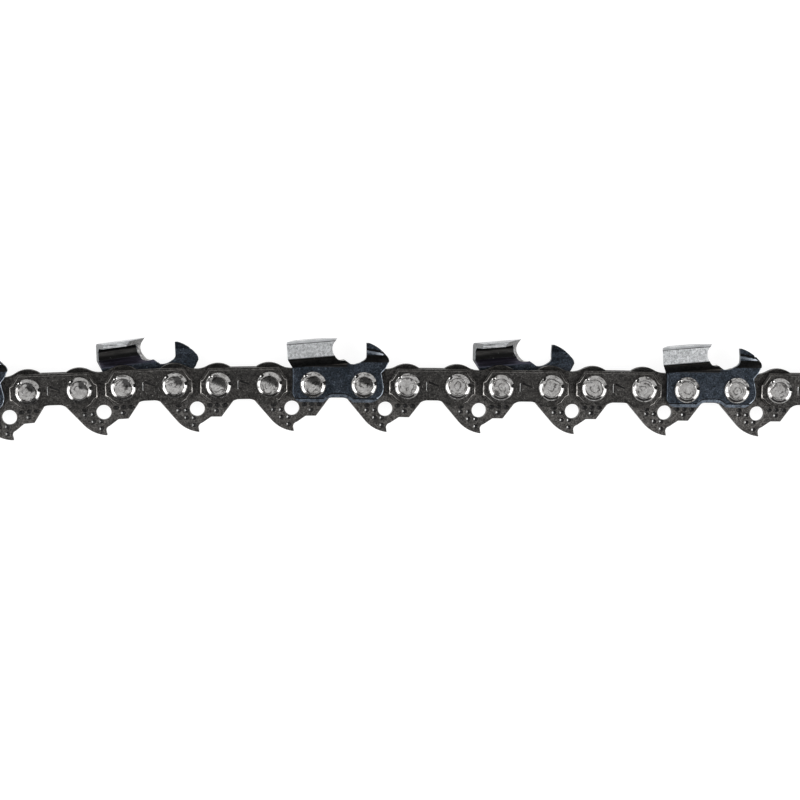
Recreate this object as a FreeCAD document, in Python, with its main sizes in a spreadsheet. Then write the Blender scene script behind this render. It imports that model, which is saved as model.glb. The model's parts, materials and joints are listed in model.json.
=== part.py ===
import FreeCAD, Part
import math
import os

import Sketcher

# Open length of saw chain, millimetres.
# It lies on its side: X runs along the chain in the cutting direction, Y points to the
# cutter tops and Z is the axis of every rivet. The origin is the middle of the empty
# rear rivet hole, in the middle plane of the drive links.

SIZES = [
    # pitch and stack
    ("side_pitch", 10.06, "rivet to rivet in a side link"),
    ("drive_pitch", 8.58, "rivet to rivet in a drive link"),
    ("gauge", 1.5, "thickness of a drive link"),
    ("plate", 1.25, "thickness of straps and cutter plates"),
    ("side_gap", 0.05, "play of a drive link on each side"),
    # rivet
    ("rivet_radius", 2.575, "rivet, from head to head"),
    ("rivet_play", 0.05, "radial play of a drive link on its rivet"),
    ("head_rise", 0.75, "rivet head above the strap"),
    # drive link
    ("ear_radius", 4.3, "rounded ears about both rivets"),
    ("saddle_radius", 4.3, "hollow between the ears"),
    ("rear_flank", 49, "slope of the rear flank, degrees"),
    ("front_flank", 53.5, "slope of the front flank, degrees"),
    ("sweep_start", 6.9, "depth where the rear flank turns into the tang's sweep"),
    ("sweep_radius", 6.8, "sweep under the tang"),
    ("tip_ahead", 4.93, "tip of the tang ahead of the rear rivet"),
    ("tip_drop", 9.35, "tip of the tang below the rivets"),
    ("hook_rise", 0.95, "height of the hook's steep edge above the tip"),
    ("hook_lean", 0.16, "top of that edge behind the tip"),
    ("hook_radius", 0.95, "hollow above the hook"),
    ("hook_reach", 0.72, "run of that hollow"),
    ("hook_climb", 0.9, "climb of that hollow"),
    ("step_start", 7.25, "rear end of the flat step ahead of the rear rivet"),
    ("step_drop", 6.3, "flat step below the rivets"),
    ("oil_radius", 1.46, "oil hole"),
    ("oil_ahead", 4.5, "oil hole ahead of the rear rivet"),
    ("oil_drop", 4.76, "oil hole below the rivets"),
    # tie strap
    ("strap_rise", 3.4, "top edge above the rivets"),
    ("strap_rear_drop", 3.45, "rear lobe below the rivets"),
    ("strap_front_drop", 3.8, "front lobe below the rivets"),
    ("strap_waist", 2.8, "arch between the lobes below the rivets"),
    ("strap_reach", 3.55, "end land beyond the rivet"),
    ("corner_reach", 1.9, "end of the top edge beyond the rivet"),
    ("land_top", 1.05, "upper end of the end land"),
    ("land_bottom", 1.6, "lower end of the end land"),
    ("land_step", 0.38, "shoulder beside the end land"),
    ("lobe_side", 2.3, "middle of the lower bevel beyond the rivet"),
    ("lobe_foot", 1.3, "end of the lobe's flat foot beyond the rivet"),
    ("lobe_rise", 0.65, "upper end of the foot bevel above the foot"),
    ("arch_radius", 2.45, "round shoulders of the arch"),
    ("arch_half", 0.92, "half of the arch's flat top"),
    # cutter, lower plate
    ("cutter_drop", 3.48, "lower edge below the rivets"),
    ("cutter_waist", 2.5, "arch below the rivets"),
    ("cutter_rear", 4.0, "rear edge behind the rear rivet"),
    ("rear_round", 1.9, "rounded rear lower corner"),
    ("foot_reach", 1.55, "end of the lower edge ahead of the front rivet"),
    ("front_round", 3.1, "rounded front lower corner"),
    ("belly_reach", 3.95, "widest point of the front edge ahead of the front rivet"),
    ("belly_drop", 0.3, "that point below the rivets"),
    ("neck_reach", 3.45, "narrow neck ahead of the front rivet"),
    ("neck_rise", 2.35, "height of that neck"),
    ("coin_width", 0.6, "width of the coined step along the lower edge"),
    ("coin_depth", 0.2, "depth of the coined step"),
    # cutter, tooth
    ("tooth_climb", 5.2, "climb of the top plate to the front, degrees"),
    ("tooth_top", 8.82, "top plate above the rear rivet"),
    ("tooth_side", 3.8, "side wall from the middle plane"),
    ("lean_start", 3.72, "where the wall starts to lean outward"),
    ("lean_rise", 1.25, "height of the leaning part"),
    ("lean_reach", 1.45, "how far that part leans out"),
    ("knee_rise", 0.5, "height of the bend above the leaning part"),
    ("inner_shift", 0.42, "inner bends sit this much higher than the outer ones"),
    ("shoulder", 0.42, "bevel between side wall and top plate"),
    ("gusset", 0.62, "inner bevel between side wall and top plate"),
    ("top_plate", 0.95, "thickness of the top plate"),
    ("top_reach", 1.0, "top plate past the middle plane"),
    ("tail_reach", 5.1, "tail of the side wall behind the rear rivet"),
    ("tail_step", 0.6, "foot of the slanted tail below the start of the lean"),
    ("tail_relief", 18, "plan angle of the tail, degrees"),
    ("edge_angle", 30, "plan angle of the cutting edge, degrees"),
    ("file_radius", 2.4, "round file that ground the hook"),
    ("file_ahead", 6.42, "file ahead of the rear rivet at the side wall"),
    ("file_rise", 7.28, "file above the rivets"),
    # cutter, gullet and depth gauge
    ("spur_ahead", 5.7, "top of the gullet's spur ahead of the rear rivet"),
    ("spur_rise", 5.3, "top of that spur"),
    ("floor_ahead", 7.45, "lowest point of the gullet ahead of the rear rivet"),
    ("floor_rise", 4.08, "gullet floor above the rivets"),
    ("floor_radius", 2.9, "hollow of the gullet floor"),
    ("root_radius", 1.45, "hollow at the foot of the depth gauge"),
    ("root_run", 0.85, "run of that hollow"),
    ("root_climb", 0.85, "climb of that hollow"),
    ("gauge_back", 0.42, "rear face of the depth gauge ahead of the front rivet"),
    ("gauge_root", 5.48, "foot of that rear face above the rivets"),
    ("gauge_top", 8.32, "depth gauge above the rivets"),
    ("gauge_land", 0.55, "flat top of the depth gauge"),
    ("brow_radius", 7.5, "rounded front of the depth gauge"),
    ("brow_back", 0.55, "lower end of the brow behind the nose"),
    ("brow_lift", 1.2, "lower end of the brow above the nose"),
    ("nose_radius", 1.5, "rounded nose"),
    ("nose_reach", 4.95, "nose ahead of the front rivet"),
    ("nose_rise", 4.7, "height of the nose"),
    ("chin_back", 0.62, "chin behind the nose"),
    ("chin_drop", 1.3, "chin below the nose"),
    ("gauge_start", 0.5, "start of the gauge's bent wall ahead of the gullet's lowest point"),
    ("gauge_side", 3.0, "outer face of the depth gauge from the middle plane"),
    ("gauge_lean_start", 4.5, "where the gauge starts to lean outward"),
    ("gauge_lean_end", 6.0, "where that lean ends"),
    ("gauge_crease", 6.85, "crease where the gauge bends back inward"),
    ("gauge_tilt", 27, "inward lean above the crease, degrees"),
]

# How the chain lies: the heading of each link from the rear end, degrees above X.
LIE = [3, 3, 5, 1.5, 3, 2, -0.5, 0.5, -0.5, -1, -2, -1, -1.5, -1, -1, -1.5, -1.5, -1, -1, -1.5, -1.5]

# Side links from the rear end; every second one is a plain pair of straps.
SIDE_KINDS = ["near_cutter", "strap", "far_cutter", "strap"]

doc = FreeCAD.newDocument("saw_chain_length")
dim = doc.addObject("Spreadsheet::Sheet", "dim")
for row, (alias, size, note) in enumerate(SIZES, start=1):
    dim.set(f"A{row}", note)
    dim.set(f"B{row}", str(size))
    dim.setAlias(f"B{row}", alias)
doc.recompute()


def number(expression):
    """Value of an expression of the sheet's sizes."""
    return float(dim.evalExpression(expression))


def new_sketch(body, name, role, lift="0"):
    """Sketch on one of the body's origin planes, lifted along its normal."""
    sketch = body.newObject("Sketcher::SketchObject", name)
    plane = next(item for item in body.Origin.OriginFeatures if item.Role == role)
    sketch.AttachmentSupport = (plane, [""])
    sketch.MapMode = "FlatFace"
    sketch.setExpression(".AttachmentOffset.Base.z", lift)
    return sketch


def arc_between(first, second, radius, turn):
    """Short arc from first to second; turn is 1 to the left and -1 to the right."""
    chord = second - first
    rise = math.sqrt(max(radius**2 - (chord.Length / 2) ** 2, 0))
    left = FreeCAD.Vector(-chord.y, chord.x, 0).normalize()
    centre = (first + second) / 2 + left * (turn * rise)
    start, end = (first, second) if turn > 0 else (second, first)
    angles = [math.atan2(point.y - centre.y, point.x - centre.x) for point in (start, end)]
    circle = Part.Circle(centre, FreeCAD.Vector(0, 0, 1), radius)
    return Part.ArcOfCircle(circle, angles[0], angles[1])


def draw_outline(sketch, corners):
    """Closed outline. A corner is (x, y), or (x, y, radius, turn) where an arc leaves it."""
    points = [FreeCAD.Vector(number(c[0]), number(c[1]), 0) for c in corners]
    edges, starts, ends = [], [], []
    for index, corner in enumerate(corners):
        here, after = points[index], points[(index + 1) % len(points)]
        if len(corner) == 2:
            edges.append(Part.LineSegment(here, after))
            starts.append(1)
            ends.append(2)
        else:
            edges.append(arc_between(here, after, number(corner[2]), corner[3]))
            starts.append(1 if corner[3] > 0 else 2)
            ends.append(2 if corner[3] > 0 else 1)
    first = sketch.GeometryCount
    sketch.addGeometry(edges, False)
    count = len(corners)
    for index in range(count):
        after = (index + 1) % count
        sketch.addConstraint(
            Sketcher.Constraint("Coincident", first + index, ends[index], first + after, starts[after])
        )
    for index, corner in enumerate(corners):
        edge = first + index
        for axis, expression in (("DistanceX", corner[0]), ("DistanceY", corner[1])):
            add_size(sketch, (axis, -1, 1, edge, starts[index]), expression)
        if len(corner) == 4:
            add_size(sketch, ("Radius", edge), corner[2])


def add_size(sketch, terms, expression):
    """Dimension of a sketch, bound to an expression of the sheet's sizes."""
    place = sketch.addConstraint(Sketcher.Constraint(*terms, number(expression)))
    sketch.setExpression(f"Constraints[{place}]", expression)


def draw_circle(sketch, x, y, radius):
    """Circle, such as a hole inside an outline."""
    circle = Part.Circle(FreeCAD.Vector(number(x), number(y), 0), FreeCAD.Vector(0, 0, 1), number(radius))
    edge = sketch.addGeometry(circle, False)
    add_size(sketch, ("DistanceX", -1, 1, edge, 3), x)
    add_size(sketch, ("DistanceY", -1, 1, edge, 3), y)
    add_size(sketch, ("Radius", edge), radius)


def new_body(name):
    """Body whose Label is its node's name."""
    body = doc.addObject("PartDesign::Body", name)
    body.Label = name
    return body


def pad(body, sketch, name, length, midplane=False):
    """Pad of a sketch along its normal."""
    feature = body.newObject("PartDesign::Pad", name)
    feature.Profile = sketch
    feature.Midplane = midplane
    feature.setExpression("Length", length)
    body.Tip = feature
    return feature


def mirrored_x(corners):
    """The same corners in reverse order with x turned about, for an outline's other end."""
    return [(f"-({x})", y) for x, y in reversed(corners)]


def shifted_x(corners, shift):
    """The same corners moved along X."""
    return [(f"{shift} + ({x})", y) for x, y in corners]


PLATE_FOOT = "dim.gauge / 2 + dim.side_gap"
PLATE_FACE = "dim.gauge / 2 + dim.side_gap + dim.plate"


# Drive link

def drive_link_form():
    """Drive link: two eared bores, an oil hole and a hooked tang, about its middle plane."""
    body = new_body("drive_link_form")
    sketch = new_sketch(body, "side_view", "XY_Plane")
    middle = "sqrt((dim.ear_radius + dim.saddle_radius)^2 - (dim.drive_pitch / 2)^2)"
    share = "dim.ear_radius / (dim.ear_radius + dim.saddle_radius)"
    saddle_x, saddle_y = f"{share} * dim.drive_pitch / 2", f"{share} * {middle}"
    rear_fall = "(dim.sweep_start - dim.ear_radius * cos(dim.rear_flank)) / sin(dim.rear_flank)"
    heel_fall = "(dim.step_drop - dim.ear_radius * cos(dim.front_flank)) / sin(dim.front_flank)"
    draw_outline(sketch, [
        (saddle_x, saddle_y, "dim.ear_radius", 1),
        ("-dim.ear_radius * sin(dim.rear_flank)", "-dim.ear_radius * cos(dim.rear_flank)"),
        (
            f"{rear_fall} * cos(dim.rear_flank) - dim.ear_radius * sin(dim.rear_flank)",
            "-dim.sweep_start", "dim.sweep_radius", 1,
        ),
        ("dim.tip_ahead", "-dim.tip_drop"),
        ("dim.tip_ahead - dim.hook_lean", "dim.hook_rise - dim.tip_drop", "dim.hook_radius", -1),
        (
            "dim.tip_ahead - dim.hook_lean + dim.hook_reach",
            "dim.hook_rise + dim.hook_climb - dim.tip_drop",
        ),
        ("dim.step_start", "-dim.step_drop"),
        (
            f"dim.drive_pitch + dim.ear_radius * sin(dim.front_flank) - {heel_fall} * cos(dim.front_flank)",
            "-dim.step_drop",
        ),
        (
            "dim.drive_pitch + dim.ear_radius * sin(dim.front_flank)",
            "-dim.ear_radius * cos(dim.front_flank)", "dim.ear_radius", 1,
        ),
        (f"dim.drive_pitch - {saddle_x}", saddle_y, "dim.saddle_radius", -1),
    ])
    draw_circle(sketch, "0", "0", "dim.rivet_radius + dim.rivet_play")
    draw_circle(sketch, "dim.drive_pitch", "0", "dim.rivet_radius + dim.rivet_play")
    draw_circle(sketch, "dim.oil_ahead", "-dim.oil_drop", "dim.oil_radius")
    pad(body, sketch, "stamping", "dim.gauge", midplane=True)
    return body


# Tie strap

def strap_end(drop):
    """Corners of a strap's front end from the foot of its lobe to its top edge."""
    return [
        ("dim.lobe_foot", f"-{drop}"),
        ("dim.lobe_side", f"dim.lobe_rise - {drop}"),
        ("dim.strap_reach - dim.land_step", "-dim.land_bottom - dim.land_step"),
        ("dim.strap_reach", "-dim.land_bottom"),
        ("dim.strap_reach", "dim.land_top"),
        ("dim.strap_reach - dim.land_step", "dim.land_top + dim.land_step"),
        ("dim.corner_reach", "dim.strap_rise"),
    ]


def arch_run(drop, waist):
    """Run of an arch shoulder that falls from the arch's flat top to a lobe."""
    fall = f"({drop} - {waist})"
    return f"sqrt(2 * dim.arch_radius * {fall} - {fall}^2)"


def arch(rear_drop, front_drop, waist):
    """Corners of the arch under a side plate, from the rear lobe to the front lobe."""
    rear_top = "dim.side_pitch / 2 - dim.arch_half"
    front_top = "dim.side_pitch / 2 + dim.arch_half"
    return [
        (f"{rear_top} - {arch_run(rear_drop, waist)}", f"-{rear_drop}", "dim.arch_radius", -1),
        (rear_top, f"-{waist}"),
        (front_top, f"-{waist}", "dim.arch_radius", -1),
        (f"{front_top} + {arch_run(front_drop, waist)}", f"-{front_drop}"),
    ]


def strap_form():
    """Tie strap with its two rivet holes, on the near side of the drive links."""
    body = new_body("strap_form")
    sketch = new_sketch(body, "side_view", "XY_Plane", PLATE_FOOT)
    draw_outline(
        sketch,
        arch("dim.strap_rear_drop", "dim.strap_front_drop", "dim.strap_waist")
        + shifted_x(strap_end("dim.strap_front_drop"), "dim.side_pitch")
        + mirrored_x(strap_end("dim.strap_rear_drop")),
    )
    for x in ("0", "dim.side_pitch"):
        draw_circle(sketch, x, "0", "dim.rivet_radius")
    pad(body, sketch, "stamping", "dim.plate")
    return body


# Rivets

def rivets_form():
    """Both rivets of a side link, each through the near plate, a drive link and the far plate."""
    body = new_body("rivets_form")
    body.AllowCompound = True
    sketch = new_sketch(body, "section", "XY_Plane")
    draw_circle(sketch, "0", "0", "dim.rivet_radius")
    shank = pad(body, sketch, "shank", f"2 * ({PLATE_FACE} + dim.head_rise)", midplane=True)
    doc.recompute()
    pair = body.newObject("PartDesign::LinearPattern", "pair")
    pair.Originals = [shank]
    pair.Direction = (sketch, ["H_Axis"])
    pair.Occurrences = 2
    pair.setExpression("Length", "dim.side_pitch")
    body.Tip = pair
    return body


# Cutter

def cutter_side_view():
    """Side view of a cutter, as deep as its bent walls reach."""
    body = new_body("cutter_side_view")
    sketch = new_sketch(body, "side_view", "XY_Plane", "-dim.top_reach - dim.plate")
    front = "dim.side_pitch"
    rake = f"{front} + dim.gauge_back"
    nose = f"{front} + dim.nose_reach"
    over = "dim.tooth_top + dim.side_pitch * tan(dim.tooth_climb)"
    draw_outline(
        sketch,
        arch("dim.cutter_drop", "dim.cutter_drop", "dim.cutter_waist")
        + [
            (f"{front} + dim.foot_reach", "-dim.cutter_drop", "dim.front_round", 1),
            (f"{front} + dim.belly_reach", "-dim.belly_drop"),
            (f"{front} + dim.neck_reach", "dim.neck_rise"),
            (f"{nose} - dim.chin_back", "dim.nose_rise - dim.chin_drop"),
            (nose, "dim.nose_rise", "dim.nose_radius", 1),
            (f"{nose} - dim.brow_back", "dim.nose_rise + dim.brow_lift", "dim.brow_radius", 1),
            (f"{rake} + dim.gauge_land", "dim.gauge_top"),
            (rake, "dim.gauge_top"),
            (rake, "dim.gauge_root", "dim.root_radius", -1),
            (f"{rake} - dim.root_run", "dim.gauge_root - dim.root_climb", "dim.floor_radius", -1),
            ("dim.floor_ahead", "dim.floor_rise"),
            ("dim.spur_ahead", "dim.spur_rise"),
            ("dim.spur_ahead", over),
            ("-dim.tail_reach", over),
            ("-dim.tail_reach", "dim.lean_start + dim.lean_rise"),
            ("-dim.cutter_rear", "dim.lean_start - dim.tail_step"),
            ("-dim.cutter_rear", "dim.rear_round - dim.cutter_drop", "dim.rear_round", 1),
            ("dim.rear_round - dim.cutter_rear", "-dim.cutter_drop"),
        ],
    )
    for x in ("0", front):
        draw_circle(sketch, x, "0", "dim.rivet_radius")
    pad(body, sketch, "blank", "dim.top_reach + dim.tooth_side + 2 * dim.plate")
    return body


CUTTER_ENDS = ("-dim.tail_reach - dim.plate", "dim.side_pitch + dim.nose_reach + dim.plate")


def cutter_flat():
    """Flat lower part of the cutter blank, up to the foot of its bent walls."""
    body = new_body("cutter_flat")
    sketch = new_sketch(body, "side_view", "XY_Plane", PLATE_FOOT)
    rear, front = CUTTER_ENDS
    foot = "dim.lean_start / cos(dim.tooth_climb) - dim.plate / 4"
    draw_outline(sketch, [
        (rear, "-dim.cutter_drop - dim.plate"),
        (front, "-dim.cutter_drop - dim.plate"),
        (front, f"{foot} + dim.floor_ahead * tan(dim.tooth_climb)"),
        ("dim.floor_ahead", f"{foot} + dim.floor_ahead * tan(dim.tooth_climb)"),
        (rear, f"{foot} + ({rear}) * tan(dim.tooth_climb)"),
    ])
    pad(body, sketch, "blank", "dim.plate")
    return body


def cutter_tooth():
    """Bent wall of the tooth: foot, outward lean, knee, side wall, shoulder and top plate."""
    body = new_body("cutter_tooth")
    sketch = new_sketch(body, "section", "YZ_Plane", "-dim.tail_reach - dim.plate")
    foot = "dim.lean_start - dim.plate"
    lean_end = "dim.lean_start + dim.lean_rise"
    inner = "dim.tooth_side - dim.plate"
    under = "dim.tooth_top - dim.top_plate"
    draw_outline(sketch, [
        (foot, PLATE_FOOT),
        ("dim.lean_start + dim.inner_shift", PLATE_FOOT),
        (f"{lean_end} + dim.inner_shift", inner),
        (f"{under} - dim.gusset", inner),
        (under, f"{inner} - dim.gusset"),
        (under, "-dim.top_reach"),
        ("dim.tooth_top", "-dim.top_reach"),
        ("dim.tooth_top", "dim.tooth_side - dim.shoulder"),
        ("dim.tooth_top - dim.shoulder", "dim.tooth_side"),
        (f"{lean_end} + dim.knee_rise", "dim.tooth_side"),
        (lean_end, f"{PLATE_FACE} + dim.lean_reach"),
        ("dim.lean_start", PLATE_FACE),
        (foot, PLATE_FACE),
    ])
    pad(body, sketch, "bent_wall", "dim.tail_reach + dim.floor_ahead + 2 * dim.plate")
    body.setExpression("Placement.Rotation.Angle", "dim.tooth_climb")
    return body


def cutter_gauge():
    """Bent wall of the depth gauge: it leans outward, and back inward above its crease."""
    body = new_body("cutter_gauge")
    sketch = new_sketch(body, "section", "YZ_Plane", "dim.floor_ahead + dim.gauge_start")
    tip = "dim.gauge_top - dim.gauge_crease + dim.plate"
    levels = [
        ("dim.gauge_lean_start - dim.plate", PLATE_FACE),
        ("dim.gauge_lean_start", PLATE_FACE),
        ("dim.gauge_lean_end", "dim.gauge_side"),
        ("dim.gauge_crease", "dim.gauge_side"),
        (f"dim.gauge_crease + {tip}", f"dim.gauge_side - ({tip}) * tan(dim.gauge_tilt)"),
    ]
    inner = [(level, f"{face} - dim.plate") for level, face in levels]
    draw_outline(sketch, inner + list(reversed(levels)))
    pad(body, sketch, "bent_wall", "dim.side_pitch + dim.nose_reach - dim.floor_ahead")
    return body


def cutter_coin():
    """Room of the step that is coined into the outer face along the cutter's lower edge."""
    body = new_body("cutter_coin")
    sketch = new_sketch(body, "side_view", "XY_Plane", f"{PLATE_FACE} - dim.coin_depth")
    rear, front = CUTTER_ENDS
    line = "dim.cutter_drop - dim.coin_width"
    draw_outline(
        sketch,
        arch(f"({line})", f"({line})", "(dim.cutter_waist - dim.coin_width)")
        + [
            (front, f"-({line})"),
            (front, "-dim.cutter_drop - dim.plate"),
            (rear, "-dim.cutter_drop - dim.plate"),
            (rear, f"-({line})"),
        ],
    )
    pad(body, sketch, "room", "dim.plate")
    return body


def boolean(kind, name, base, tool):
    """Part workbench boolean of two objects."""
    result = doc.addObject(kind, name)
    result.Base = base
    result.Tool = tool
    return result


def fusion(name, shapes):
    """Part workbench union of several objects."""
    result = doc.addObject("Part::MultiFuse", name)
    result.Shapes = shapes
    return result


def about_y(name, tool, angle, x, y, z):
    """Turn a Part workbench primitive about Y and set its corner or axis foot."""
    tool.Label = name
    tool.Placement.Rotation = FreeCAD.Rotation(FreeCAD.Vector(0, 1, 0), 0)
    tool.setExpression("Placement.Rotation.Angle", angle)
    tool.setExpression("Placement.Base.x", x)
    tool.setExpression("Placement.Base.y", y)
    tool.setExpression("Placement.Base.z", z)
    return tool


def file_path():
    """Room swept by the file: a cylinder across the cutter at the edge angle, open to the front."""
    past = "3 * dim.tooth_side"
    file = doc.addObject("Part::Cylinder", "file")
    file.setExpression("Radius", "dim.file_radius")
    file.setExpression("Height", f"{past} + dim.tooth_side")
    slot = doc.addObject("Part::Box", "file_slot")
    slot.setExpression("Length", "dim.file_radius + dim.plate")
    slot.setExpression("Width", "dim.tooth_top")
    slot.setExpression("Height", f"{past} + dim.tooth_side")
    x = f"dim.file_ahead - {past} * sin(dim.edge_angle)"
    z = f"dim.tooth_side - {past} * cos(dim.edge_angle)"
    return fusion("file_path", [
        about_y("round_file", file, "dim.edge_angle", x, "dim.file_rise", z),
        about_y("way_out", slot, "dim.edge_angle", x, "dim.file_rise", z),
    ])


def tail_room():
    """Room behind the top plate's slanted tail."""
    past = "3 * dim.tooth_side"
    room = doc.addObject("Part::Box", "tail_room")
    room.setExpression("Length", past)
    room.setExpression("Width", "dim.tooth_top")
    room.setExpression("Height", f"{past} + dim.tooth_side")
    x = f"-dim.tail_reach - {past} * cos(dim.tail_relief) + {past} * sin(dim.tail_relief)"
    z = f"dim.tooth_side - {past} * sin(dim.tail_relief) - {past} * cos(dim.tail_relief)"
    return about_y("tail_room", room, "-dim.tail_relief", x, "dim.lean_start - dim.tail_step", z)


def cutter_form():
    """Near-side cutter: a stamped blank, coined, bent, then ground with a round file."""
    blank = fusion("cutter_blank", [cutter_flat(), cutter_tooth(), cutter_gauge()])
    trimmed = boolean("Part::Common", "cutter_trimmed", blank, cutter_side_view())
    coined = boolean("Part::Cut", "cutter_coined", trimmed, cutter_coin())
    ground = boolean("Part::Cut", "cutter_ground", coined, file_path())
    return boolean("Part::Cut", "cutter_form", ground, tail_room())


# Assembly

def place_after(link, heading, previous, pitch):
    """Put a link's rear rivet on the front rivet of the link before it, at its own heading."""
    link.Placement.Rotation = FreeCAD.Rotation(FreeCAD.Vector(0, 0, 1), heading)
    if previous is not None:
        length = f"{pitch} * 1 mm"
        turn = previous.Placement.Rotation.Angle * previous.Placement.Rotation.Axis.z
        link.setExpression(
            "Placement.Base.x", f"{previous.Name}.Placement.Base.x + {length} * cos({math.degrees(turn)})"
        )
        link.setExpression(
            "Placement.Base.y", f"{previous.Name}.Placement.Base.y + {length} * sin({math.degrees(turn)})"
        )


def piece(name, form):
    """One piece of the chain: a body of its own, based on the form that it repeats."""
    body = new_body(name)
    body.AllowCompound = True
    body.BaseFeature = form
    return body


def far_side(form, name):
    """The same form turned over to the far side of the drive links."""
    mirror = doc.addObject("Part::Mirroring", name)
    mirror.Source = form
    mirror.Normal = FreeCAD.Vector(0, 0, 1)
    mirror.Base = FreeCAD.Vector(0, 0, 0)
    return mirror


drive = drive_link_form()
strap = strap_form()
rivets = rivets_form()
cutter = cutter_form()
doc.recompute()
far_strap = far_side(strap, "far_strap_form")
far_cutter = far_side(cutter, "far_cutter_form")
doc.recompute()

PLATES = {
    "strap": (("near_strap", strap), ("far_strap", far_strap)),
    "near_cutter": (("near_cutter", cutter), ("far_strap", far_strap)),
    "far_cutter": (("near_strap", strap), ("far_cutter", far_cutter)),
}

pieces = []
previous = None
for place, heading in enumerate(LIE):
    number_in_kind = place // 2 + 1
    if place % 2 == 0:
        members = [piece(f"drive_link_{number_in_kind:02d}", drive)]
        pitch_behind = "dim.side_pitch"
    else:
        kind = SIDE_KINDS[(number_in_kind - 1) % len(SIDE_KINDS)]
        tag = f"side_link_{number_in_kind:02d}"
        members = [piece(f"{tag}_{side}", form) for side, form in PLATES[kind]]
        members.append(piece(f"{tag}_rivets", rivets))
        pitch_behind = "dim.drive_pitch"
    for member in members:
        place_after(member, heading, previous, pitch_behind)
    doc.recompute()
    previous = members[0]
    pieces.extend(members)

doc.recompute()

faults = [item.Name for item in doc.Objects if "Invalid" in item.State or "Error" in item.State]
faults += [item.Label for item in pieces if item.Shape.isNull() or not item.Shape.isValid()]
if faults:
    raise RuntimeError(f"these did not build: {faults}")

os.makedirs("parts", exist_ok=True)
for item in pieces:
    item.Shape.exportStep(f"parts/{item.Label}.step")
    print(item.Label, len(item.Shape.Solids), round(item.Shape.Volume, 3))
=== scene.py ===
import json
import math
import random

import bmesh
import bpy
from mathutils import Matrix, Vector

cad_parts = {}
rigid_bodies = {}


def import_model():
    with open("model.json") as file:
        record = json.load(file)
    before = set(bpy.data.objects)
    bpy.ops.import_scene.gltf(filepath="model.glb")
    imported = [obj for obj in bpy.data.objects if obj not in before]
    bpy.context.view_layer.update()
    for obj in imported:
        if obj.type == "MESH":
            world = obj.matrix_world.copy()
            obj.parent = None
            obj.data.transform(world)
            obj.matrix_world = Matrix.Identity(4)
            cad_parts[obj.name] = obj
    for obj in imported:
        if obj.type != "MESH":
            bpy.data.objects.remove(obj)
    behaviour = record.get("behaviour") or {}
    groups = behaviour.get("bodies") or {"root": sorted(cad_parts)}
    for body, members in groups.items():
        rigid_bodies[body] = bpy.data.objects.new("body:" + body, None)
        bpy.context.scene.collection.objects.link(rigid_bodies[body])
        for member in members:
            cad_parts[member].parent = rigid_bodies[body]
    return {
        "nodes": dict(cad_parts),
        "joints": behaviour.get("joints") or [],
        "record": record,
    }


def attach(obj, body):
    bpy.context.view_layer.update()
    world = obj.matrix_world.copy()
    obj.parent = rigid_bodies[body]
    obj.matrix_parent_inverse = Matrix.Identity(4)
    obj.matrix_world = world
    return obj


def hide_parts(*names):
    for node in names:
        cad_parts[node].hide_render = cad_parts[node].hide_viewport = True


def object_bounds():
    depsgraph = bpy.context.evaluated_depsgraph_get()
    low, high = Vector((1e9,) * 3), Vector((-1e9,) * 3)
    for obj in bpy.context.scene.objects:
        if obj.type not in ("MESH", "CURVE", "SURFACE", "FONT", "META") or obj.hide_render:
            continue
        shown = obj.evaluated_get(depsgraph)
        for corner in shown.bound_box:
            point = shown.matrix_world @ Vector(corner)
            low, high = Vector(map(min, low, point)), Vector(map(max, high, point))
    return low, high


MM = 0.001

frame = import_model()
cad_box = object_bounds()


# links and their own axes: rear rivet at the origin, front rivet ahead along x, teeth up along y.
# Lengths are written in millimetres and turned into metres with MM; angles are in degrees.

LINK_KINDS = ("drive_link_%02d", "side_link_%02d")
LINKS = [kind % number for number in range(1, 12) for kind in LINK_KINDS][:-1]
CUTTER_SIDE = {"side_link_%02d" % n: ("near" if n % 4 == 1 else "far") for n in range(1, 11, 2)}
SIDE_PITCH = 10.06  # from rivet to rivet of a side link
CLIMB = math.tan(math.radians(5.2))  # of a cutter's top and of the bands below it


def link_places():
    """Matrix of each link's own axes in the row frame, from the hinges and the end mounts."""
    hinges = {frozenset((j["parent"], j["child"])): Vector(j["pos_m"]) for j in frame["joints"]}
    mounts = {m["name"]: Vector(m["pos_m"]) for m in frame["record"]["mounts"]}
    pivots = [mounts["rear_rivet_hole"]]
    pivots += [hinges[frozenset(pair)] for pair in zip(LINKS, LINKS[1:])]
    pivots += [mounts["front_rivet_hole"]]
    places = {}
    for link, rear, front in zip(LINKS, pivots, pivots[1:]):
        ahead = front - rear
        turn = Matrix.Rotation(math.atan2(ahead.y, ahead.x), 4, "Z")
        places[link] = Matrix.Translation(rear) @ turn
    return places


PLACES = link_places()


# shader nodes

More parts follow.
